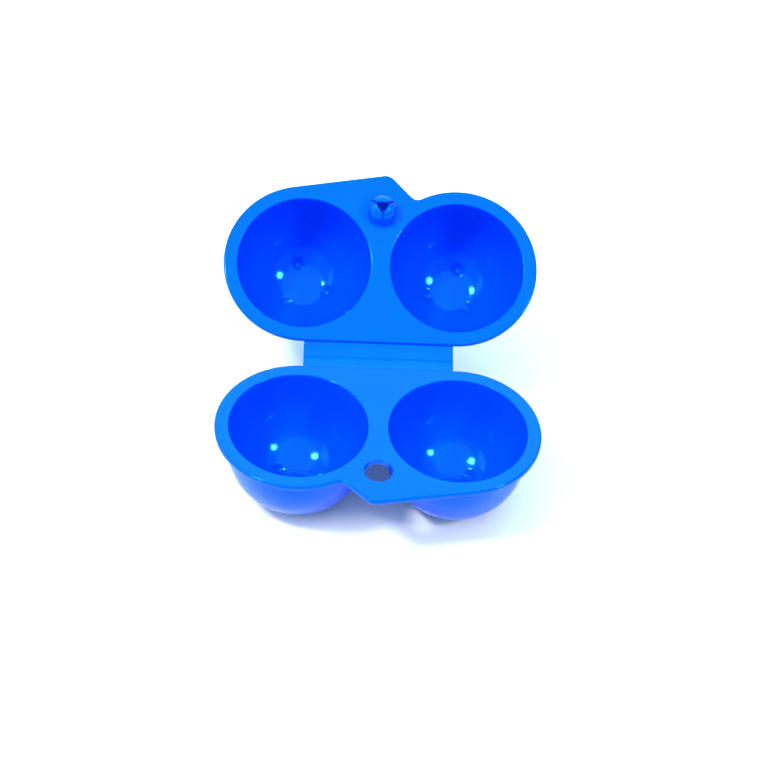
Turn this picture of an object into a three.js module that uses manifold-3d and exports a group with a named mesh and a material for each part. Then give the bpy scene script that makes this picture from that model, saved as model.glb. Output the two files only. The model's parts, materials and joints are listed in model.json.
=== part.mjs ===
// Two-cup storage box with a fold-over lid, moulded in one shot from polypropylene.
// Each half is a flat rim plate with two deep round cups hung from it. A thin strap joins
// the halves along the back, and a split stud on the lid snaps into a hole in the base.
//
// Frame: +X along the row of cups, +Y from the front tab to the hinge, +Z up. The origin is
// the middle of the footprint, on the surface that the box stands on, with the lid open.

import * as THREE from "three";
import { mergeVertices } from "three/addons/utils/BufferGeometryUtils.js";
import Module from "manifold-3d";

const wasm = await Module();
wasm.setup();

// Cups, in millimetres
const cupPitch = 60.4; // between the axes of the two cups in a half
const mouthRadius = 26.3; // inside, at the rim plate's face
const mouthRound = 0.4; // rounding of the mouth's edge
const cupDepth = 34.5; // from the rim plate's face to the flat floor
const cupWall = 1.5;
const floorRadius = 7; // the flat round floor
const cupFullness = 3; // power of the wall's curve: 2 is an ellipse, more is fuller

// Hollow feet round each cup's floor
const footCount = 3;
const footCircle = 9.6; // from the cup's axis to a foot's axis
const footRadius = 3.6;
const footRound = 1.6; // rounding of a foot's lower edge
const footFlare = 0.6; // by which its hollow widens upwards
const footFloor = 1.2; // thickness of a foot's end
const footTurn = THREE.MathUtils.degToRad(14); // direction of the base's first left-hand foot

// Rim plate
const rimWidth = 5.45; // from a cup's mouth to the plate's outer edge
const plateThickness = 2.4;
const plateRound = 0.5; // rounding of the plate's outer edges

// Opening tab, at the side away from the hinge
const tabSlope = THREE.MathUtils.degToRad(9.5); // of the tab's long edge
const tabCut = THREE.MathUtils.degToRad(45); // of its short edge
const tabTipShift = 2.7; // of the tip from the middle
const tabTipRound = 2.2;
const tabNotchRound = 3.5; // where the short edge runs into the round end

// Hinge strap
const hingeSetback = 5.75; // from the plate's straight edge to the axis that the lid turns on
const strapWidth = 58.5;
const strapThickness = 0.9;
const strapDrop = 1.6; // from the plate's face to the middle of the strap
const lidTilt = THREE.MathUtils.degToRad(31); // of the lid's plate, open, above level

// Snap stud and hole
const snapOffset = 22.1; // from the line of the cup axes
const holeRadius = 5.4;
const holeChamfer = 0.35;
const barbBite = 0.35; // by which the stud's barb is wider than the hole
const neckClearance = 0.7; // round the stud's neck, in the hole
const studHeight = 7;
const studBossHeight = 0.5;
const studTipInset = 2.9; // by which the stud narrows from its barb to its end
const barbRise = 0.5; // of the barb's underside
const barbBand = 0.5; // height of its widest part
const slotWidth = 0.8; // between two prongs
const slotHollow = 1.75; // from the stud's axis to a prong's flat inner side

// Fits
const closedGap = 0.3; // between the two rim plates, shut
const seatGap = 0.3; // between pieces that meet
const cutOverrun = 1; // by which a cutter runs past what it cuts

// Facets
const cupSides = 40;
const cupRings = 8;
const footSides = 12;
const roundSteps = 2;
const outlineStep = THREE.MathUtils.degToRad(6);
const strapSteps = 8;
const studSides = 36;

// Sizes that follow
const halfPitch = cupPitch / 2;
const endRadius = mouthRadius + rimWidth;
const standHeight = cupDepth + cupWall;
const hingeReach = endRadius + hingeSetback;
const barbRadius = holeRadius + barbBite;
const neckRadius = holeRadius - neckClearance;
const quarterTurn = Math.PI / 2;

const plastic = { color: 0x0a84ff, roughness: 0.32, metalness: 0 };

// A geometry as a solid that can be joined and cut.
function solid(geometry) {
  const bare = new THREE.BufferGeometry();
  bare.setAttribute("position", geometry.getAttribute("position"));
  bare.setIndex(geometry.index);
  const welded = mergeVertices(bare);
  return new wasm.Manifold(
    new wasm.Mesh({
      numProp: 3,
      vertProperties: new Float32Array(welded.attributes.position.array),
      triVerts: new Uint32Array(welded.index.array),
    }),
  );
}

// A named piece from a finished solid.
function piece(name, body) {
  const made = body.getMesh();
  const geometry = new THREE.BufferGeometry();
  geometry.setAttribute(
    "position",
    new THREE.BufferAttribute(new Float32Array(made.vertProperties), made.numProp),
  );
  geometry.setIndex(new THREE.BufferAttribute(new Uint32Array(made.triVerts), 1));
  geometry.computeVertexNormals();
  const mesh = new THREE.Mesh(geometry, new THREE.MeshStandardMaterial(plastic));
  mesh.name = name;
  return mesh;
}

// A solid turned round the Z axis from a profile of [radius, height] points, bottom first.
function turned(profile, sides) {
  const points = profile.map(([radius, height]) => new THREE.Vector2(radius, height));
  const lathe = new THREE.LatheGeometry(points, sides);
  lathe.rotateX(quarterTurn);
  return solid(lathe);
}

// The curve of a cup's wall, from its floor up to its mouth, as [radius, height] points.
function cupCurve(topRadius, floorDepth) {
  const floorAngle = Math.acos(floorRadius / topRadius);
  const fullDepth = floorDepth / Math.sin(floorAngle) ** (2 / cupFullness);
  const points = [];
  for (let ring = cupRings; ring >= 0; ring -= 1) {
    const angle = (floorAngle * ring) / cupRings;
    const depth = fullDepth * Math.sin(angle) ** (2 / cupFullness);
    points.push([topRadius * Math.cos(angle), -depth]);
  }
  return points;
}

// The outside of a cup, up into the middle of the rim plate.
function cupOutside() {
  const wall = cupCurve(mouthRadius + cupWall, standHeight);
  wall.pop();
  const sink = plateThickness / 2;
  return turned([[0, -standHeight], ...wall, [mouthRadius + cupWall, -sink], [0, -sink]], cupSides);
}

// The space inside a cup, with its mouth's edge rounded.
function cupInside() {
  const wall = cupCurve(mouthRadius, cupDepth);
  wall.pop();
  for (let step = 0; step <= roundSteps; step += 1) {
    const angle = (quarterTurn * step) / roundSteps;
    const radius = mouthRadius + mouthRound * (1 - Math.cos(angle));
    wall.push([radius, -mouthRound * (1 - Math.sin(angle))]);
  }
  const edge = mouthRadius + mouthRound;
  return turned([[0, -cupDepth], ...wall, [edge, cutOverrun], [0, cutOverrun]], cupSides);
}

// A peg with a rounded lower edge, from one height up to another, widening by a flare.
function peg(radius, low, high, flare) {
  const round = Math.min(footRound, radius);
  const points = [[0, low]];
  for (let step = 0; step <= roundSteps; step += 1) {
    const angle = (quarterTurn * step) / roundSteps;
    points.push([radius - round * (1 - Math.sin(angle)), low + round * (1 - Math.cos(angle))]);
  }
  points.push([radius + flare, high], [0, high]);
  return turned(points, footSides);
}

// Where the feet of one cup stand. The right cup's feet mirror the left cup's.
function footPlaces(side) {
  const places = [];
  for (let foot = 0; foot < footCount; foot += 1) {
    const angle = footTurn + (2 * Math.PI * foot) / footCount;
    places.push([side * (halfPitch - footCircle * Math.cos(angle)), footCircle * Math.sin(angle)]);
  }
  return places;
}

// Points of an arc, from one direction round to another.
function arc(centre, radius, from, to, clockwise) {
  const curve = new THREE.EllipseCurve(
    centre.x, centre.y, radius, radius, from, to, clockwise,
  );
  const sweep = Math.abs(clockwise ? from - to : to - from);
  return curve.getPoints(Math.ceil(sweep / outlineStep));
}

// The rim plate's outline: two round ends, a straight hinge edge at +Y and the tab at -Y.
function plateOutline() {
  const leftEnd = new THREE.Vector2(-halfPitch, 0);
  const rightEnd = new THREE.Vector2(halfPitch, 0);
  const longNormal = new THREE.Vector2(Math.sin(tabSlope), -Math.cos(tabSlope));
  const cutNormal = new THREE.Vector2(-Math.sin(tabCut), -Math.cos(tabCut));
  const cutAlong = new THREE.Vector2(-Math.cos(tabCut), Math.sin(tabCut));

  // The sharp corner of the tab, on its long edge, and how far out its short edge lies
  const longReach = endRadius + longNormal.dot(rightEnd);
  const cornerY = (longReach + longNormal.x * tabTipShift) / longNormal.y;
  const cutReach = cutNormal.dot(new THREE.Vector2(-tabTipShift, cornerY));

  // The centre of the rounded tip, inside both edges
  const determinant = longNormal.x * cutNormal.y - longNormal.y * cutNormal.x;
  const longInset = longReach - tabTipRound;
  const cutInset = cutReach - tabTipRound;
  const tip = new THREE.Vector2(
    (longInset * cutNormal.y - cutInset * longNormal.y) / determinant,
    (longNormal.x * cutInset - cutNormal.x * longInset) / determinant,
  );

  // The centre of the hollow rounding, outside the short edge and the left end
  const notch = cutNormal.clone().multiplyScalar(cutReach + tabNotchRound);
  const fromEnd = notch.clone().sub(leftEnd);
  const along = fromEnd.dot(cutAlong);
  const notchReach = endRadius + tabNotchRound;
  const depth = Math.sqrt(along ** 2 - fromEnd.lengthSq() + notchReach ** 2);
  notch.addScaledVector(cutAlong, -along - depth);

  const downLong = Math.atan2(longNormal.y, longNormal.x);
  const downCut = Math.atan2(cutNormal.y, cutNormal.x);
  const toEnd = Math.atan2(leftEnd.y - notch.y, leftEnd.x - notch.x);
  return new THREE.Shape([
    ...arc(rightEnd, endRadius, quarterTurn, downLong, true),
    ...arc(tip, tabTipRound, downLong, downCut, true),
    ...arc(notch, tabNotchRound, downCut + Math.PI, toEnd, false),
    ...arc(leftEnd, endRadius, toEnd + Math.PI, quarterTurn, true),
  ]);
}

function rimPlate() {
  const plate = new THREE.ExtrudeGeometry(plateOutline(), {
    depth: plateThickness - 2 * plateRound,
    bevelThickness: plateRound,
    bevelSize: plateRound,
    bevelOffset: -plateRound,
    bevelSegments: roundSteps,
  });
  plate.translate(0, 0, plateRound - plateThickness);
  return solid(plate);
}

// One half of the box, its face at height 0, its cups below and its tab at -Y.
function half() {
  let body = rimPlate();
  const cuts = [];
  for (const side of [-1, 1]) {
    body = body.add(cupOutside().translate([side * halfPitch, 0, 0]));
    cuts.push(cupInside().translate([side * halfPitch, 0, 0]));
    const footTop = cupWall - cupDepth;
    for (const [x, y] of footPlaces(side)) {
      const foot = peg(footRadius, -standHeight, footTop, 0);
      const hollow = peg(
        footRadius - footFloor, footFloor - standHeight, footTop + cutOverrun, footFlare,
      );
      body = body.add(foot.translate([x, y, 0]));
      cuts.push(hollow.translate([x, y, 0]));
    }
  }
  return cuts.reduce((rest, cut) => rest.subtract(cut), body);
}

// The hole that the stud snaps into, with both edges broken.
function snapHole() {
  const mouth = holeRadius + holeChamfer + cutOverrun;
  const low = -plateThickness;
  return turned(
    [
      [0, low - cutOverrun],
      [mouth, low - cutOverrun],
      [holeRadius, low + holeChamfer],
      [holeRadius, -holeChamfer],
      [mouth, cutOverrun],
      [0, cutOverrun],
    ],
    studSides,
  ).translate([0, -snapOffset, 0]);
}

// The stud before it is split, standing on the lid's face.
function wholeStud() {
  const underBarb = closedGap + plateThickness + seatGap;
  const barbFoot = underBarb + barbRise;
  const barbTop = barbFoot + barbBand;
  const tipRadius = barbRadius - studTipInset;
  const foot = studBossHeight + seatGap;
  return turned(
    [
      [0, foot],
      [neckRadius, foot],
      [neckRadius, underBarb],
      [barbRadius, barbFoot],
      [barbRadius, barbTop],
      [(barbRadius + tipRadius) / 2, (barbTop + studHeight) / 2 + barbBand],
      [tipRadius, studHeight],
      [0, studHeight],
    ],
    studSides,
  );
}

// The third of the stud that lies in one direction, between two slots.
function prongBlank(direction) {
  const widthAt = (distance) => distance * Math.tan(Math.PI / 3) - slotWidth;
  const far = barbRadius + cutOverrun;
  const shape = new THREE.Shape([
    new THREE.Vector2(slotHollow, -widthAt(slotHollow)),
    new THREE.Vector2(far, -widthAt(far)),
    new THREE.Vector2(far, widthAt(far)),
    new THREE.Vector2(slotHollow, widthAt(slotHollow)),
  ]);
  const blank = new THREE.ExtrudeGeometry(shape, {
    depth: studHeight + cutOverrun,
    bevelEnabled: false,
  });
  blank.rotateZ(direction);
  return solid(blank);
}

// The strap, bent evenly from level at the base to the lid's tilt.
function hingeStrap() {
  const start = new THREE.Vector2(endRadius + seatGap, -strapDrop);
  const mirrorNormal = new THREE.Vector2(Math.cos(lidTilt / 2), Math.sin(lidTilt / 2));
  const pole = new THREE.Vector2(hingeReach, closedGap / 2);
  const chord = 2 * pole.sub(start).dot(mirrorNormal);
  const bend = chord / (2 * Math.sin(lidTilt / 2));
  const lower = [];
  const upper = [];
  for (let step = 0; step <= strapSteps; step += 1) {
    const angle = (lidTilt * step) / strapSteps;
    const across = new THREE.Vector2(Math.sin(angle), -Math.cos(angle));
    const centre = new THREE.Vector2(start.x, start.y + bend);
    lower.push(centre.clone().addScaledVector(across, bend + strapThickness / 2));
    upper.unshift(centre.clone().addScaledVector(across, bend - strapThickness / 2));
  }
  const strap = new THREE.ExtrudeGeometry(new THREE.Shape([...lower, ...upper]), {
    depth: strapWidth,
    bevelEnabled: false,
  });
  strap.rotateY(quarterTurn);
  strap.rotateX(quarterTurn);
  strap.translate(-strapWidth / 2, 0, 0);
  return solid(strap);
}

// The lid's frame is the base's, turned half round: its hinge edge is at -Y and its tab at +Y.
const lidPivot = new THREE.Group();
lidPivot.position.set(0, hingeReach, closedGap / 2);
lidPivot.rotation.x = lidTilt;
const lid = new THREE.Group();
lid.position.set(0, hingeReach, -closedGap / 2);
lidPivot.add(lid);

const box = new THREE.Group();
box.add(piece("base_shell", half().subtract(snapHole())));
box.add(piece("hinge_strap", hingeStrap()));
box.add(lidPivot);

const boss = turned(
  [
    [0, -plateThickness / 2],
    [neckRadius + studBossHeight, -plateThickness / 2],
    [neckRadius + studBossHeight, 0],
    [neckRadius, studBossHeight],
    [0, studBossHeight],
  ],
  studSides,
).translate([0, -snapOffset, 0]);
const lidShell = piece("lid_shell", half().add(boss));
lidShell.rotation.z = Math.PI;
lid.add(lidShell);

const prongDirections = {
  snap_prong_front: quarterTurn,
  snap_prong_left: quarterTurn + (2 * Math.PI) / 3,
  snap_prong_right: quarterTurn - (2 * Math.PI) / 3,
};
for (const [name, direction] of Object.entries(prongDirections)) {
  const prong = piece(name, wholeStud().intersect(prongBlank(direction)));
  prong.position.set(0, snapOffset, 0);
  lid.add(prong);
}

// The origin goes to the middle of the footprint.
const reach = new THREE.Box3().setFromObject(box, true);
box.position.set(0, -(reach.min.y + reach.max.y) / 2, standHeight);

const storageBox = new THREE.Group();
storageBox.name = "storage_box";
storageBox.add(box);

export default storageBox;
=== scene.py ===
"""Two-cup storage box with a fold-over lid, moulded in glossy blue polypropylene.

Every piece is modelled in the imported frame: metres, +X along the row of cups, +Y from the
front tab to the hinge, +Z up, with the box standing on its base half and its lid open.
"""

import json
import math

import bpy
from mathutils import Matrix, Vector


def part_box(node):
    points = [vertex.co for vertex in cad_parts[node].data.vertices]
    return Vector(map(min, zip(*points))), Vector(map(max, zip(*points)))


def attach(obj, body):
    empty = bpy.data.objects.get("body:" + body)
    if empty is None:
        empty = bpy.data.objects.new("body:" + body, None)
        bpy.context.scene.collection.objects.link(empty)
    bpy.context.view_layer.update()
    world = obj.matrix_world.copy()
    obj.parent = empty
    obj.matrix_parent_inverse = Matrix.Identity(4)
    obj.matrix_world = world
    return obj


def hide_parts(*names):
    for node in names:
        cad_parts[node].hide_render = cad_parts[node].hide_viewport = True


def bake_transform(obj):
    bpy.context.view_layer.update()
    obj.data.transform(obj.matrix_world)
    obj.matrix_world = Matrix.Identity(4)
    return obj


bl_info = {
    "name": "Two-cup storage box",
    "version": (1, 0, 0),
    "blender": (4, 5, 0),
    "location": "View3D > Sidebar > Storage box",
    "description": "Models a moulded two-cup storage box around its fixed frame",
    "category": "Object",
}

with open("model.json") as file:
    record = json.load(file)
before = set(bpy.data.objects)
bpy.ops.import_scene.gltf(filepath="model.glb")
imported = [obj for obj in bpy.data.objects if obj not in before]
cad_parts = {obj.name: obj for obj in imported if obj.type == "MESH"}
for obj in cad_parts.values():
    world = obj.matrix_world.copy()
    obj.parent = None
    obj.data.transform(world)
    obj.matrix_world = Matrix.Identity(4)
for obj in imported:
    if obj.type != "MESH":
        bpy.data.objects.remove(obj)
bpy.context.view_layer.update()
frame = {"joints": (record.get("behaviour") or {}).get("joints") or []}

# The fold joint gives the axis that the lid turns on and how far it is tilted at rest
FOLD = frame["joints"][0]
HINGE = Vector(FOLD["pos_m"])
LID_TILT = math.radians(FOLD["range_deg"][1])
BASE_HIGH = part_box("base_shell")[1]
STRAP_LOW, STRAP_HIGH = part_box("hinge_strap")

# A millimetre in metres and a quarter turn in radians
MM = 0.001
QUARTER_TURN = math.pi / 2

# Curves
CUP_FULLNESS = 3  # power of a cup's depth in its curve: 2 is an ellipse, more is fuller
CONE_CURVE = 1.45  # power of the stud's end: 1 is an ellipse, 2 is a straight cone
BOSS_FLARE_SHARE = 1.2  # width of the boss's flare, of its height
FOOT_SEARCH_SHARE = 0.8  # depth below which a cup has its feet, of the cup's depth

# Facets
CUP_SIDES = 176
WALL_RINGS = 44  # up a cup's wall
FOOT_RINGS = 26  # across a cup's end, where its feet are
ROUND_STEPS = 5  # round a quarter turn
EDGE_STEPS = 3  # round a fine edge
ARC_STEP = 1.0 * MM  # along the plate's outline
ARC_LEAST_STEPS = 3
STUD_SIDES = 96
PRONG_SIDES = 24
CONE_STEPS = 12
STRAP_STEPS = 14  # in each half of the strap's bend

# Modelling
OVERRUN = 1.0 * MM  # by which a cutter runs past what it cuts
MERGE = 0.002 * MM
MIRROR_MERGE = 0.01 * MM
SPIN_SENSE = -1.0  # the spin operator counts its angle the other way
CORNER_ANGLE = math.radians(60)  # an edge of a plate or strap sharper than this is rounded
PRONG_CORNER_ANGLE = math.radians(38)
SMOOTH_ANGLE = math.radians(40)  # an edge less sharp than this is shaded smooth
NORMAL_WEIGHT = 90  # by which large faces lead the shading of small ones

# Plastic
PLASTIC_IOR = 1.49
FLOW_SCALE = 28
FLOW_DETAIL = 3
FLOW_LOW = 0.3  # value of the flow pattern that has the darkest plastic
FLOW_HIGH = 0.7
HAZE_SCALE = 90
HAZE_DETAIL = 5
SMOOTHEST = 0.8  # of the surface's roughness
ROUGHEST = 1.3
BUMP_STRENGTH = 0.02
BUMP_HEIGHT = 0.05 * MM

# Stage
FLOOR_SIZE = 24.0
FLOOR_GAP = 0.05 * MM  # below the surface that the box stands on
FLOOR_ROUGHNESS = 0.6
CAMERA_TARGET = (2.153 * MM, -9.7455 * MM, 36.0 * MM)
SENSOR_WIDTH = 36.0  # in millimetres, like the lens
NEAR_CLIP = 10.0 * MM

# Lights: how far out they all stand, then the direction and width of each
LIGHT_REACH = 3.0
SMALL_SIZE = 0.55
LEFT_LIGHT = (-0.47, -0.22, 0.85)
RIGHT_LIGHT = (0.64, -0.37, 0.67)
BACK_LIGHT = (0.0, 0.8, 0.6)
BACK_SIZE = 3.75
TOP_LIGHT = (0.0, -0.32, 0.95)
TOP_SIZE = 4.0
SIDE_LIGHT = (-0.88, -0.1, 0.46)
SIDE_SIZE = 2.5


def length(label, text, default):
    """A size in metres, shown as a distance."""
    return bpy.props.FloatProperty(
        name=label,
        description=text,
        default=default,
        unit="LENGTH",
        subtype="DISTANCE",
        precision=5,
    )


def angle(label, text, degrees):
    """An angle, given in degrees and shown as an angle."""
    return bpy.props.FloatProperty(
        name=label,
        description=text,
        default=math.radians(degrees),
        unit="ROTATION",
        subtype="ANGLE",
    )


def colour(label, text, default):
    """A colour with its alpha."""
    return bpy.props.FloatVectorProperty(
        name=label,
        description=text,
        default=default,
        size=4,
        subtype="COLOR",
        min=0.0,
        max=1.0,
    )


def factor(label, text, default):
    """A share or strength from 0 up."""
    return bpy.props.FloatProperty(name=label, description=text, default=default, min=0.0)


class BoxHalfSizes(bpy.types.PropertyGroup):
    """Sizes of one half: its rim plate, cups and feet."""

    cup_pitch: length("Cup pitch", "Distance between the axes of the two cups", 60.4 * MM)
    mouth_radius: length("Mouth radius", "Inside radius of a cup at the plate's face", 26.3 * MM)
    mouth_round: length("Mouth rounding", "Rounding of a cup's inner edge", 0.55 * MM)
    cup_depth: length("Cup depth", "From the plate's face to the cup's floor", 34.5 * MM)
    cup_wall: length("Cup wall", "Thickness of a cup's wall", 1.5 * MM)
    floor_radius: length("Floor radius", "Radius of the flat round floor", 7.0 * MM)
    floor_round: length("Floor rounding", "Depth over which the floor runs into the wall", 0.3 * MM)
    under_round: length("Under rounding", "Fillet between a cup and the plate above it", 0.9 * MM)
    plate_thickness: length("Plate thickness", "Thickness of the rim plate", 2.4 * MM)
    plate_round: length("Plate rounding", "Rounding of the plate's outer edges", 0.8 * MM)
    tab_slope: angle("Tab slope", "Slope of the tab's long edge", 9.5)
    tab_cut: angle("Tab cut", "Slope of the tab's short edge", 45.0)
    tab_tip_shift: length("Tab tip shift", "Of the tab's tip from the middle", 2.7 * MM)
    tab_tip_round: length("Tab tip rounding", "Radius of the tab's tip", 4.6 * MM)
    tab_notch_round: length(
        "Tab notch rounding", "Radius where the tab meets the round end", 3.5 * MM
    )
    foot_circle: length("Foot circle", "From a cup's axis to a foot's axis", 9.6 * MM)
    foot_radius: length("Foot radius", "Outside radius of a hollow foot", 3.6 * MM)
    foot_blend: length("Foot blend", "Width of the soft slope round a foot", 1.5 * MM)
    dimple_radius: length("Dimple radius", "Radius of the flat bottom inside a foot", 0.5 * MM)
    dimple_blend: length("Dimple blend", "Width of the soft slope round a dimple", 3.0 * MM)
    dimple_depth: length("Dimple depth", "Of a foot's inside below the cup's floor", 0.45 * MM)
    foot_turn: angle("Foot turn", "Direction of the first foot of a left cup", 14.0)
    foot_count: bpy.props.IntProperty(name="Feet", description="Feet on each cup", default=3, min=1)


class BoxSnapSizes(bpy.types.PropertyGroup):
    """Sizes of the split stud on the lid and of the hole that it snaps into."""

    offset: length("Offset", "From the line of the cup axes to the stud", 22.1 * MM)
    hole_radius: length("Hole radius", "Radius of the hole in the base", 5.4 * MM)
    hole_round: length("Hole rounding", "Rounding of the hole's edges", 0.2 * MM)
    barb_bite: length("Barb bite", "By which the barb is wider than the hole", 0.35 * MM)
    neck_radius: length("Neck radius", "Radius of the stud below its barb", 4.7 * MM)
    height: length("Height", "Of the stud above the lid's face", 7.0 * MM)
    boss_height: length("Boss height", "Of the round boss under the stud", 0.5 * MM)
    core_radius: length("Core radius", "Radius of the ring that joins the prongs", 4.65 * MM)
    core_hollow: length("Core hollow", "Radius of the space inside that ring", 2.4 * MM)
    core_height: length("Core height", "Of that ring above the lid's face", 3.9 * MM)
    under_barb: length("Under barb", "From the lid's face to the underside of the barb", 3.0 * MM)
    barb_rise: length("Barb rise", "Height of the barb's sloping underside", 0.5 * MM)
    barb_band: length("Barb band", "Height of the barb's widest part", 0.5 * MM)
    tip_radius: length("Tip radius", "Radius of the flat middle of the stud's end", 2.85 * MM)
    slot_width: length("Slot width", "Width of a slot between two prongs", 0.8 * MM)
    slot_hollow: length("Slot hollow", "From the stud's axis to a prong's inner side", 1.75 * MM)
    edge_round: length("Edge rounding", "Rounding of a prong's cut edges", 0.14 * MM)


class BoxStrapSizes(bpy.types.PropertyGroup):
    """Sizes of the strap that joins the halves and bends."""

    thickness: length("Thickness", "Of the strap between the plates", 0.9 * MM)
    flare: length("Flare", "By which each face of the strap widens into a plate", 0.35 * MM)
    drop: length("Drop", "From the plate's face to the middle of the strap", 1.6 * MM)
    root: length("Root", "By which the strap runs into each plate", 0.8 * MM)
    side_round: length("Side rounding", "Rounding of the strap's two ends", 0.2 * MM)


class BoxFinish(bpy.types.PropertyGroup):
    """The look of the plastic."""

    base: colour("Plastic", "Colour of the moulded plastic", (0.0, 0.078, 0.72, 1.0))
    deep: colour("Deep plastic", "Colour of its darker flow marks", (0.0, 0.072, 0.7, 1.0))
    # The paler strap colour is painted light: it stands in for light shining through the thin
    # strap.
    pale: colour("Strap plastic with painted light", "Colour of the plastic where it is bent", (0.0, 0.1, 0.78, 1.0))
    gloss_tint: colour("Gloss tint", "Tint of what the surface mirrors", (0.08, 0.75, 1.0, 1.0))
    roughness: factor("Roughness", "Of the moulded surface", 0.11)


class BoxStage(bpy.types.PropertyGroup):
    """Floor, light and camera."""

    floor: colour("Floor", "Colour of the floor", (0.79, 0.78, 0.71, 1.0))
    lamp: colour("Small light colour", "Colour of the two small lights", (1.0, 1.0, 1.0, 1.0))
    glow: colour("Large light colour", "Colour of the large lights", (0.9, 0.97, 1.0, 1.0))
    back_glow: colour("Back light colour", "Colour of the light behind", (0.4, 0.95, 1.0, 1.0))
    sky_colour: colour(
        "Sky colour", "Colour of the even light from all round", (0.6, 0.82, 1.0, 1.0)
    )
    sky: factor("Sky", "Strength of the even light from all round", 0.8)
    left: factor("Left light", "Power of the small light at the upper left in watts", 62.5)
    right: factor("Right light", "Power of the small light at the right in watts", 37.5)
    back: factor("Back light", "Power of the large light behind in watts", 56.0)
    top: factor("Top light", "Power of the large light overhead in watts", 47.0)
    side: factor("Side light", "Power of the large low light at the left in watts", 28.0)
    azimuth: angle("Azimuth", "Camera's turn round the box, from the front", -3.271)
    elevation: angle("Elevation", "Camera's height above the horizon", 45.404)
    roll: angle("Roll", "Camera's roll", 4.339)
    distance: length("Distance", "From the camera to the point it looks at", 800.0 * MM)
    lens: bpy.props.FloatProperty(name="Lens", description="Focal length in mm", default=97.3)


def leave_edit_mode():
    """Goes back to object mode with nothing selected."""
    if bpy.context.object and bpy.context.object.mode != "OBJECT":
        bpy.ops.object.mode_set(mode="OBJECT")
    bpy.ops.object.select_all(action="DESELECT")


def only(piece):
    """Makes one piece active and the only one selected."""
    leave_edit_mode()
    piece.select_set(True)
    bpy.context.view_layer.objects.active = piece


def edit_all(piece):
    """Enters edit mode with the whole piece selected."""
    only(piece)
    bpy.ops.object.mode_set(mode="EDIT")
    bpy.ops.mesh.select_all(action="SELECT")


def edit_near(piece, x, y, reach, top):
    """Enters edit mode with just the vertices selected that lie near an upright line."""
    only(piece)
    for part in (piece.data.polygons, piece.data.edges):
        part.foreach_set("select", [False] * len(part))
    for vertex in piece.data.vertices:
        away = math.hypot(vertex.co.x - x, vertex.co.y - y)
        vertex.select = vertex.co.z < top and away < reach
    bpy.ops.object.mode_set(mode="EDIT")
    bpy.ops.mesh.select_mode(type="VERT")


def start_piece(name):
    """Names the new primitive, applies its place and selects all of it in edit mode."""
    piece = bpy.context.object
    piece.name = name
    bpy.ops.object.transform_apply(location=True, rotation=True, scale=True)
    edit_all(piece)
    return piece


def extrude(x, y, z):
    """Draws the selection on by a step, in edit mode."""
    bpy.ops.mesh.extrude_region_move(TRANSFORM_OT_translate={"value": (x, y, z)})


def face_outwards():
    """Turns every face outwards, in edit mode."""
    bpy.ops.mesh.select_all(action="SELECT")
    bpy.ops.mesh.normals_make_consistent(inside=False)


def round_corners(sharpness, radius, steps, clamp=False):
    """Rounds every edge that is sharper than an angle, in edit mode."""
    bpy.ops.mesh.select_mode(type="EDGE")
    bpy.ops.mesh.select_all(action="DESELECT")
    bpy.ops.mesh.edges_select_sharp(sharpness=sharpness)
    bpy.ops.mesh.bevel(offset=radius, segments=steps, affect="EDGES", clamp_overlap=clamp)


def apply_modifier(piece, kind, **settings):
    """Adds a modifier with its settings and applies it."""
    only(piece)
    bpy.ops.object.modifier_add(type=kind)
    modifier = piece.modifiers[-1]
    for name, value in settings.items():
        setattr(modifier, name, value)
    bpy.ops.object.modifier_apply(modifier=modifier.name)


def combine(piece, other, operation):
    """Joins another solid to a piece, or cuts the piece by it, and removes the other."""
    apply_modifier(piece, "BOOLEAN", operation=operation, solver="EXACT", object=other)
    if not piece.data.polygons:
        raise RuntimeError(f"nothing is left of {piece.name} after {other.name}")
    only(other)
    bpy.ops.object.delete()


def settle(piece, place):
    """Puts a piece where a matrix says and leaves its object at the origin."""
    only(piece)
    piece.matrix_world = place @ piece.matrix_world
    bpy.context.view_layer.update()
    bpy.ops.object.transform_apply(location=True, rotation=True, scale=True)
    leave_edit_mode()


def finish_shading(piece, material):
    """Smooth faces whose normals follow the large flat ones, and the finished material."""
    edit_all(piece)
    bpy.ops.mesh.remove_doubles(threshold=MERGE)
    only(piece)
    bpy.ops.object.shade_smooth_by_angle(angle=SMOOTH_ANGLE)
    apply_modifier(piece, "WEIGHTED_NORMAL", keep_sharp=True, weight=NORMAL_WEIGHT)
    piece.data.materials.clear()
    piece.data.materials.append(material)


def quarter_round(steps):
    """Pairs of cosine and sine over a quarter turn."""
    turn = QUARTER_TURN / steps
    return [(math.cos(turn * step), math.sin(turn * step)) for step in range(steps + 1)]


def turned(name, centre, rings, sides):
    """A closed solid turned about an upright line, from rings of radius and height."""
    leave_edit_mode()
    radius, height = rings[0]
    bpy.ops.mesh.primitive_circle_add(
        vertices=sides, radius=radius, fill_type="NGON", location=(*centre, height)
    )
    piece = start_piece(name)
    for next_radius, next_height in rings[1:]:
        extrude(0, 0, next_height - height)
        share = next_radius / radius
        bpy.ops.transform.resize(value=(share, share, 1), center_override=(*centre, next_height))
        radius, height = next_radius, next_height
    face_outwards()
    leave_edit_mode()
    return piece


def wall_radius(top_radius, full_depth, depth):
    """Radius of a cup's wall at a depth. The wall is upright at the mouth and full below."""
    return top_radius * math.sqrt(1 - (depth / full_depth) ** CUP_FULLNESS)


def wall_depth(top_radius, full_depth, radius):
    """Depth of a cup's wall at a radius."""
    return full_depth * (1 - (radius / top_radius) ** 2) ** (1 / CUP_FULLNESS)


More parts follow.
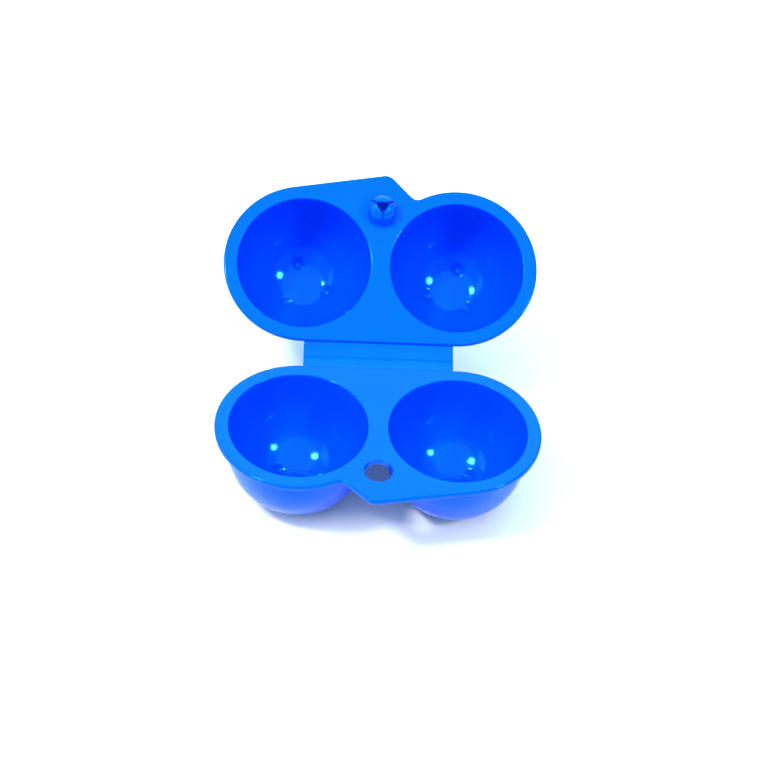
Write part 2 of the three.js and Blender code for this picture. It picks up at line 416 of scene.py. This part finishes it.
def cup_rings(half, top_radius, floor_depth):
    """Rings of a cup's curve, from its floor to just below its mouth, bottom first."""
    full = floor_depth / wall_depth(top_radius, 1, half.floor_radius)

    # Close rings across the end, where the flat floor runs softly into the wall
    inner = half.foot_circle - half.foot_radius - half.foot_blend
    outer = half.foot_circle + half.foot_radius + half.foot_blend
    rings = []
    for step in range(FOOT_RINGS):
        radius = inner + (outer - inner) * step / FOOT_RINGS
        depth = wall_depth(top_radius, full, radius)
        overlap = max(0, 1 - abs(depth - floor_depth) / half.floor_round)
        rings.append((radius, half.floor_round * overlap**2 / 4 - min(depth, floor_depth)))

    # Even steps up the wall
    start = wall_depth(top_radius, full, outer)
    for step in range(WALL_RINGS):
        depth = start * (1 - step / WALL_RINGS)
        rings.append((wall_radius(top_radius, full, depth), -depth))
    return rings


def foot_places(half, side):
    """Where the feet of one cup stand. The right cup's feet mirror the left cup's."""
    places = []
    for foot in range(half.foot_count):
        turn = half.foot_turn + 2 * math.pi * foot / half.foot_count
        along = half.cup_pitch / 2 - half.foot_circle * math.cos(turn)
        places.append((side * along, half.foot_circle * math.sin(turn)))
    return places


def flatten_feet(piece, half, side, level, flat_radius, blend):
    """Draws the cup's floor down to one level at each foot, with a soft slope round it."""
    top = -half.cup_depth * FOOT_SEARCH_SHARE
    for x, y in foot_places(half, side):
        edit_near(piece, x, y, flat_radius, top)
        bpy.ops.transform.resize(
            value=(1, 1, 0),
            center_override=(x, y, level),
            use_proportional_edit=True,
            proportional_edit_falloff="SMOOTH",
            proportional_size=blend,
        )
        leave_edit_mode()


def cup_outside(half, side):
    """The outside of a cup with its feet, up into the middle of the rim plate."""
    outer = half.mouth_radius + half.cup_wall
    bottom = half.cup_depth + half.cup_wall
    under = -half.plate_thickness - half.under_round
    rings = [ring for ring in cup_rings(half, outer, bottom) if ring[1] < under]
    for cosine, sine in quarter_round(ROUND_STEPS):
        flare = half.under_round * (1 - cosine)
        rings.append((outer + flare, under + half.under_round * sine))
    rings.append((outer + half.under_round, -half.plate_thickness / 2))
    piece = turned("cup_outside", (side * half.cup_pitch / 2, 0), rings, CUP_SIDES)
    flat_radius = half.foot_radius - half.foot_blend / 2
    flatten_feet(piece, half, side, -bottom, flat_radius, half.foot_blend)
    return piece


def cup_inside(half, side):
    """The space inside a cup and its hollow feet, with its mouth's edge rounded."""
    mouth = half.mouth_radius
    soft = half.mouth_round
    rings = [ring for ring in cup_rings(half, mouth, half.cup_depth) if ring[1] < -soft]
    for cosine, sine in quarter_round(ROUND_STEPS):
        rings.append((mouth + soft * (1 - cosine), soft * (sine - 1)))
    rings.append((mouth + soft, OVERRUN))
    piece = turned("cup_inside", (side * half.cup_pitch / 2, 0), rings, CUP_SIDES)
    level = -half.cup_depth - half.dimple_depth
    flatten_feet(piece, half, side, level, half.dimple_radius, half.dimple_blend)
    return piece


def on_circle(centre, radius, direction):
    """The point of a circle that lies in one direction from its centre."""
    return centre + radius * Vector((math.cos(direction), math.sin(direction)))


def arc_to(centre, radius, start, end):
    """Draws an arc on from the last vertex, clockwise where the end is less than the start."""
    sweep = end - start
    steps = max(ARC_LEAST_STEPS, math.ceil(abs(sweep) * radius / ARC_STEP))
    bpy.ops.mesh.spin(
        steps=steps, angle=sweep * SPIN_SENSE, center=(centre.x, centre.y, 0), axis=(0, 0, 1)
    )
    return on_circle(centre, radius, end)


def line_to(place, target):
    """Draws a straight edge on from the last vertex."""
    step = target - place
    extrude(step.x, step.y, 0)


def tab_rounds(half, end_radius, left, right):
    """The centres of the tab's rounded tip and of the hollow rounding beside it."""
    long_normal = Vector((math.sin(half.tab_slope), -math.cos(half.tab_slope)))
    cut_normal = Vector((-math.sin(half.tab_cut), -math.cos(half.tab_cut)))
    cut_along = Vector((-math.cos(half.tab_cut), math.sin(half.tab_cut)))

    # The tab's sharp corner on its long edge, and how far out its short edge lies
    long_reach = end_radius + long_normal.dot(right)
    corner_y = (long_reach + long_normal.x * half.tab_tip_shift) / long_normal.y
    cut_reach = cut_normal.dot(Vector((-half.tab_tip_shift, corner_y)))

    # The tip's centre lies inside both edges
    determinant = long_normal.x * cut_normal.y - long_normal.y * cut_normal.x
    long_inset = long_reach - half.tab_tip_round
    cut_inset = cut_reach - half.tab_tip_round
    tip = Vector((
        (long_inset * cut_normal.y - cut_inset * long_normal.y) / determinant,
        (long_normal.x * cut_inset - cut_normal.x * long_inset) / determinant,
    ))

    # The hollow's centre lies outside the short edge and the left end
    notch = cut_normal * (cut_reach + half.tab_notch_round)
    from_end = notch - left
    along = from_end.dot(cut_along)
    notch_reach = end_radius + half.tab_notch_round
    depth = math.sqrt(along**2 - from_end.length_squared + notch_reach**2)
    return tip, notch + cut_along * (-along - depth)


def rim_plate(name, half):
    """The rim plate: two round ends, a straight hinge edge at +Y and the tab at -Y."""
    end_radius = BASE_HIGH.x - half.cup_pitch / 2
    left = Vector((-half.cup_pitch / 2, 0))
    right = Vector((half.cup_pitch / 2, 0))
    tip, notch = tab_rounds(half, end_radius, left, right)
    down_long = half.tab_slope - QUARTER_TURN
    down_cut = -half.tab_cut - QUARTER_TURN
    to_end = math.atan2(left.y - notch.y, left.x - notch.x) % (2 * math.pi)

    # The outline, clockwise from the hinge edge's right end
    leave_edit_mode()
    start = on_circle(right, end_radius, QUARTER_TURN)
    bpy.ops.mesh.primitive_plane_add(size=ARC_STEP, location=(*start, 0))
    piece = start_piece(name)
    bpy.ops.mesh.merge(type="CENTER")
    place = arc_to(right, end_radius, QUARTER_TURN, down_long)
    line_to(place, on_circle(tip, half.tab_tip_round, down_long))
    place = arc_to(tip, half.tab_tip_round, down_long, down_cut)
    line_to(place, on_circle(notch, half.tab_notch_round, down_cut + math.pi))
    arc_to(notch, half.tab_notch_round, down_cut + math.pi, to_end)
    arc_to(left, end_radius, to_end + math.pi, QUARTER_TURN)

    # The plate below it, with its edges rounded
    bpy.ops.mesh.select_all(action="SELECT")
    bpy.ops.mesh.edge_face_add()
    extrude(0, 0, -half.plate_thickness)
    face_outwards()
    round_corners(CORNER_ANGLE, half.plate_round, ROUND_STEPS)
    leave_edit_mode()
    return piece


def half_solid(name, half):
    """One half of the box, its face at height 0, its cups below and its tab at -Y."""
    piece = rim_plate(name, half)
    for side in (-1, 1):
        combine(piece, cup_outside(half, side), "UNION")
    for side in (-1, 1):
        combine(piece, cup_inside(half, side), "DIFFERENCE")
    return piece


def hinge_reach(half):
    """From the line of the cup axes to the axis that the lid turns on."""
    return (BASE_HIGH.x - half.cup_pitch / 2) + (HINGE.y - BASE_HIGH.y)


def base_place(half):
    """Where the base half's own origin lies: on its face, between the cups."""
    return Matrix.Translation((0, HINGE.y - hinge_reach(half), BASE_HIGH.z))


def lid_place(half):
    """Where the lid's own origin lies: on its face, between the cups, with its tab at +Y."""
    swing = Matrix.Translation(HINGE) @ Matrix.Rotation(LID_TILT, 4, "X")
    return swing @ Matrix.Translation((0, hinge_reach(half), BASE_HIGH.z - HINGE.z))


def snap_hole(snap, half):
    """The hole's cutter, with both edges rounded."""
    radius = snap.hole_radius
    soft = snap.hole_round
    low = -half.plate_thickness
    rings = [(radius + soft, low - OVERRUN)]
    for cosine, sine in quarter_round(ROUND_STEPS):
        rings.append((radius + soft * (1 - sine), low + soft * (1 - cosine)))
    for cosine, sine in quarter_round(ROUND_STEPS):
        rings.append((radius + soft * (1 - cosine), soft * (sine - 1)))
    rings.append((radius + soft, OVERRUN))
    return turned("snap_hole", (0, -snap.offset), rings, STUD_SIDES)


def snap_boss(snap):
    """The round boss on the lid's face, flared softly at its foot, with the core ring on it."""
    top = snap.boss_height
    flare = top * BOSS_FLARE_SHARE
    rings = [(snap.neck_radius + flare, -OVERRUN)]
    for cosine, sine in quarter_round(ROUND_STEPS):
        rings.append((snap.neck_radius + flare * (1 - sine), top * (1 - cosine)))
    rings.append((snap.core_radius, top))
    rings.append((snap.core_radius, snap.core_height))
    rings.append((snap.core_hollow, snap.core_height))
    rings.append((snap.core_hollow, top))
    return turned("snap_boss", (0, -snap.offset), rings, STUD_SIDES)


def whole_stud(name, snap):
    """The stud before it is split, standing on the lid's face about the origin."""
    barb = snap.hole_radius + snap.barb_bite
    barb_foot = snap.under_barb + snap.barb_rise
    barb_top = barb_foot + snap.barb_band
    rings = [(snap.neck_radius, 0), (snap.neck_radius, snap.under_barb), (barb, barb_foot)]
    for cosine, sine in quarter_round(CONE_STEPS):
        radius = snap.tip_radius + (barb - snap.tip_radius) * cosine**CONE_CURVE
        rings.append((radius, barb_top + (snap.height - barb_top) * sine**CONE_CURVE))
    return turned(name, (0, 0), rings, PRONG_SIDES)


def prong(name, snap, direction):
    """One prong: the stud cut back to the third that lies in one direction."""
    piece = whole_stud(name, snap)

    # Each side runs a sixth of a turn off the prong's middle, and faces a quarter turn from there
    facing = math.pi / 3 - QUARTER_TURN
    cuts = (
        (direction, snap.slot_hollow),
        (direction - facing, snap.slot_width / 2),
        (direction + facing, snap.slot_width / 2),
    )
    for turn, reach in cuts:
        normal = Vector((math.cos(turn), math.sin(turn), 0))
        edit_all(piece)
        bpy.ops.mesh.bisect(
            plane_co=normal * reach, plane_no=normal, use_fill=True, clear_inner=True
        )
    round_corners(PRONG_CORNER_ANGLE, snap.edge_round, EDGE_STEPS, clamp=True)
    leave_edit_mode()
    return piece


def strap_half(name, strap):
    """The base's half of the strap, drawn out of the plate and bent up to its middle."""
    edge = BASE_HIGH.y
    level = BASE_HIGH.z - strap.drop
    place = edge - strap.root
    thick = strap.thickness + 2 * strap.flare

    # A flared root that starts inside the plate
    leave_edit_mode()
    bpy.ops.mesh.primitive_plane_add(
        size=1, location=(0, place, level), rotation=(QUARTER_TURN, 0, 0)
    )
    bpy.context.object.scale = (STRAP_HIGH.x - STRAP_LOW.x, thick, 1)
    piece = start_piece(name)
    for cosine, sine in quarter_round(ROUND_STEPS):
        target = edge + strap.flare * (1 - cosine)
        height = strap.thickness + 2 * strap.flare * (1 - sine)
        extrude(0, target - place, 0)
        bpy.ops.transform.resize(value=(1, 1, height / thick), center_override=(0, target, level))
        place = target
        thick = height

    # The bend, as far as the plane that halves the angle between the two plates
    lean = LID_TILT / 2
    normal = Vector((math.cos(lean), math.sin(lean)))
    chord = (Vector((HINGE.y, HINGE.z)) - Vector((place, level))).dot(normal)
    bend = chord / math.sin(lean)
    bpy.ops.mesh.spin(
        steps=STRAP_STEPS, angle=lean * SPIN_SENSE, center=(0, place, level + bend), axis=(1, 0, 0)
    )
    bpy.ops.mesh.delete(type="ONLY_FACE")
    leave_edit_mode()
    return piece


def strap_solid(name, strap):
    """The strap, flared where it leaves each plate and bending evenly between them."""
    piece = strap_half(name, strap)

    # The lid's half mirrors the base's in the plane that halves the angle
    upright = Matrix.Rotation(-LID_TILT / 2, 4, "X") @ Matrix.Translation(-HINGE)
    settle(piece, upright)
    mirror_axis = (False, True, False)
    apply_modifier(piece, "MIRROR", use_axis=mirror_axis, merge_threshold=MIRROR_MERGE)
    settle(piece, upright.inverted())

    edit_all(piece)
    bpy.ops.mesh.remove_doubles(threshold=MERGE)
    face_outwards()
    round_corners(CORNER_ANGLE, strap.side_round, EDGE_STEPS)
    leave_edit_mode()
    return piece


def new_material(name):
    """A new material and its shader."""
    material = bpy.data.materials.new(name)
    material.use_nodes = True
    return material, material.node_tree.nodes["Principled BSDF"]


def noise(tree, scale, detail):
    """The value of a noise pattern in the piece's own coordinates."""
    place = tree.nodes.new("ShaderNodeTexCoord")
    pattern = tree.nodes.new("ShaderNodeTexNoise")
    pattern.inputs["Scale"].default_value = scale
    pattern.inputs["Detail"].default_value = detail
    tree.links.new(place.outputs["Object"], pattern.inputs["Vector"])
    return pattern.outputs["Fac"]


def plastic(name, finish, painted_light):
    """Glossy moulded polypropylene with faint flow marks and a soft, uneven surface; the strap's
    paler colour is painted light shining through its thin plastic.
    """
    material, shader = new_material(name)
    tree = material.node_tree
    shader.inputs["IOR"].default_value = PLASTIC_IOR
    shader.inputs["Specular Tint"].default_value = finish.gloss_tint

    # Flow marks in the colour
    tint = tree.nodes.new("ShaderNodeValToRGB")
    tint.color_ramp.elements[0].position = FLOW_LOW
    tint.color_ramp.elements[0].color = finish.deep
    tint.color_ramp.elements[1].position = FLOW_HIGH
    # The strap takes the paler colour, painted light shining through its thin plastic
    tint.color_ramp.elements[1].color = finish.pale if painted_light else finish.base
    tree.links.new(noise(tree, FLOW_SCALE, FLOW_DETAIL), tint.inputs["Fac"])
    tree.links.new(tint.outputs["Color"], shader.inputs["Base Color"])

    # A fine haze in the gloss and in the surface
    haze = noise(tree, HAZE_SCALE, HAZE_DETAIL)
    gloss = tree.nodes.new("ShaderNodeMapRange")
    gloss.inputs["To Min"].default_value = finish.roughness * SMOOTHEST
    gloss.inputs["To Max"].default_value = finish.roughness * ROUGHEST
    tree.links.new(haze, gloss.inputs["Value"])
    tree.links.new(gloss.outputs["Result"], shader.inputs["Roughness"])
    bump = tree.nodes.new("ShaderNodeBump")
    bump.inputs["Strength"].default_value = BUMP_STRENGTH
    bump.inputs["Distance"].default_value = BUMP_HEIGHT
    tree.links.new(haze, bump.inputs["Height"])
    tree.links.new(bump.outputs["Normal"], shader.inputs["Normal"])
    return material


def make_floor(stage):
    """The plain pale floor."""
    leave_edit_mode()
    bpy.ops.mesh.primitive_plane_add(size=FLOOR_SIZE, location=(0, 0, -FLOOR_GAP))
    floor = bpy.context.object
    floor.name = "floor"
    material, shader = new_material("Pale floor")
    shader.inputs["Base Color"].default_value = stage.floor
    shader.inputs["Roughness"].default_value = FLOOR_ROUGHNESS
    floor.data.materials.append(material)


def make_camera(stage):
    """The camera at the photograph's angle, rolled as the photograph is."""
    level = Vector((math.sin(stage.azimuth), -math.cos(stage.azimuth), 0))
    side = Vector((math.cos(stage.azimuth), math.sin(stage.azimuth), 0))
    back = level * math.cos(stage.elevation) + Vector((0, 0, math.sin(stage.elevation)))
    above = back.cross(side)
    right = side * math.cos(stage.roll) + above * math.sin(stage.roll)
    up = above * math.cos(stage.roll) - side * math.sin(stage.roll)
    leave_edit_mode()
    bpy.ops.object.camera_add()
    camera = bpy.context.object
    turn = Matrix((right, up, back)).transposed().to_4x4()
    stand = Vector(CAMERA_TARGET) + back * stage.distance
    camera.matrix_world = Matrix.Translation(stand) @ turn
    camera.data.lens = stage.lens
    camera.data.sensor_width = SENSOR_WIDTH
    camera.data.clip_start = NEAR_CLIP
    bpy.context.scene.camera = camera


def area_light(name, direction, size, power, tint):
    """A soft round light that shines at the box from one direction."""
    away = Vector(direction).normalized()
    leave_edit_mode()
    bpy.ops.object.light_add(type="AREA", location=Vector(CAMERA_TARGET) + away * LIGHT_REACH)
    light = bpy.context.object
    light.name = name
    light.rotation_mode = "QUATERNION"
    light.rotation_quaternion = away.to_track_quat("Z", "Y")
    light.data.shape = "DISK"
    light.data.size = size
    light.data.energy = power
    light.data.color = tint[:3]


def make_lights(stage):
    """Two small lights, three large soft ones and an even light from all round."""
    area_light("left_light", LEFT_LIGHT, SMALL_SIZE, stage.left, stage.lamp)
    area_light("right_light", RIGHT_LIGHT, SMALL_SIZE, stage.right, stage.lamp)
    area_light("back_light", BACK_LIGHT, BACK_SIZE, stage.back, stage.back_glow)
    area_light("top_light", TOP_LIGHT, TOP_SIZE, stage.top, stage.glow)
    area_light("side_light", SIDE_LIGHT, SIDE_SIZE, stage.side, stage.glow)
    world = bpy.data.worlds.new("Even light")
    world.use_nodes = True
    sky = world.node_tree.nodes["Background"]
    sky.inputs["Color"].default_value = stage.sky_colour
    sky.inputs["Strength"].default_value = stage.sky
    bpy.context.scene.world = world
    bpy.context.scene.view_settings.view_transform = "Standard"
    bpy.context.scene.view_settings.look = "Medium High Contrast"


class STORAGEBOX_OT_base_half(bpy.types.Operator):
    """Models the base half with its two cups, feet, tab and snap hole"""

    bl_idname = "storage_box.base_half"
    bl_label = "Base half"

    def execute(self, context):
        half = context.scene.box_half
        snap = context.scene.box_snap
        piece = half_solid("base_half", half)
        combine(piece, snap_hole(snap, half), "DIFFERENCE")
        finish_shading(piece, plastic("Base plastic", context.scene.box_finish, False))
        settle(piece, base_place(half))
        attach(piece, "base")
        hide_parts("base_shell")
        return {"FINISHED"}


class STORAGEBOX_OT_lid_half(bpy.types.Operator):
    """Models the lid half with its two cups, feet, tab and the boss of the snap stud"""

    bl_idname = "storage_box.lid_half"
    bl_label = "Lid half"

    def execute(self, context):
        half = context.scene.box_half
        snap = context.scene.box_snap
        piece = half_solid("lid_half", half)
        combine(piece, snap_boss(snap), "UNION")
        finish_shading(piece, plastic("Lid plastic", context.scene.box_finish, False))
        settle(piece, lid_place(half) @ Matrix.Rotation(math.pi, 4, "Z"))
        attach(piece, "lid")
        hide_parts("lid_shell")
        return {"FINISHED"}


class STORAGEBOX_OT_snap_prongs(bpy.types.Operator):
    """Models the three prongs of the split snap stud on the lid"""

    bl_idname = "storage_box.snap_prongs"
    bl_label = "Snap prongs"

    def execute(self, context):
        half = context.scene.box_half
        snap = context.scene.box_snap
        material = plastic("Stud plastic", context.scene.box_finish, False)
        third = 2 * math.pi / 3
        turns = {"front": 0, "left": third, "right": -third}
        for place, turn in turns.items():
            piece = prong("prong_" + place, snap, QUARTER_TURN + turn)
            finish_shading(piece, material)
            settle(piece, lid_place(half) @ Matrix.Translation((0, snap.offset, 0)))
            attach(piece, "lid")
            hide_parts("snap_prong_" + place)
        return {"FINISHED"}


class STORAGEBOX_OT_hinge_strap(bpy.types.Operator):
    """Models the moulded strap that joins the halves and bends between them"""

    bl_idname = "storage_box.hinge_strap"
    bl_label = "Hinge strap"

    def execute(self, context):
        piece = strap_solid("hinge_strap", context.scene.box_strap)
        # The strap's plastic is painted paler, for light shining through its thin bend
        finish_shading(piece, plastic("Strap plastic", context.scene.box_finish, True))
        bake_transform(piece)
        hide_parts("hinge_strap")
        return {"FINISHED"}


class STORAGEBOX_OT_stage(bpy.types.Operator):
    """Sets up the pale floor, the soft studio light and the camera"""

    bl_idname = "storage_box.stage"
    bl_label = "Stage"

    def execute(self, context):
        stage = context.scene.box_stage
        make_floor(stage)
        make_camera(stage)
        make_lights(stage)
        return {"FINISHED"}


class STORAGEBOX_PT_panel(bpy.types.Panel):
    """Lists the pieces of the storage box"""

    bl_label = "Storage box"
    bl_idname = "STORAGEBOX_PT_panel"
    bl_space_type = "VIEW_3D"
    bl_region_type = "UI"
    bl_category = "Storage box"

    def draw(self, context):
        for operator in OPERATORS:
            self.layout.operator(operator.bl_idname)


SETTINGS = {
    "box_half": BoxHalfSizes,
    "box_snap": BoxSnapSizes,
    "box_strap": BoxStrapSizes,
    "box_finish": BoxFinish,
    "box_stage": BoxStage,
}
OPERATORS = (
    STORAGEBOX_OT_base_half,
    STORAGEBOX_OT_lid_half,
    STORAGEBOX_OT_snap_prongs,
    STORAGEBOX_OT_hinge_strap,
    STORAGEBOX_OT_stage,
)


def register():
    """Makes the sizes, the operators and the panel known to Blender."""
    for group in SETTINGS.values():
        bpy.utils.register_class(group)
    for name, group in SETTINGS.items():
        setattr(bpy.types.Scene, name, bpy.props.PointerProperty(type=group))
    for item in (*OPERATORS, STORAGEBOX_PT_panel):
        bpy.utils.register_class(item)


def unregister():
    """Takes them out again."""
    for item in (STORAGEBOX_PT_panel, *reversed(OPERATORS)):
        bpy.utils.unregister_class(item)
    for name, group in SETTINGS.items():
        delattr(bpy.types.Scene, name)
        bpy.utils.unregister_class(group)


def main():
    """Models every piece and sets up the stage."""
    register()
    bpy.ops.storage_box.base_half()
    bpy.ops.storage_box.lid_half()
    bpy.ops.storage_box.snap_prongs()
    bpy.ops.storage_box.hinge_strap()
    bpy.ops.storage_box.stage()


if __name__ == "__main__":
    main()
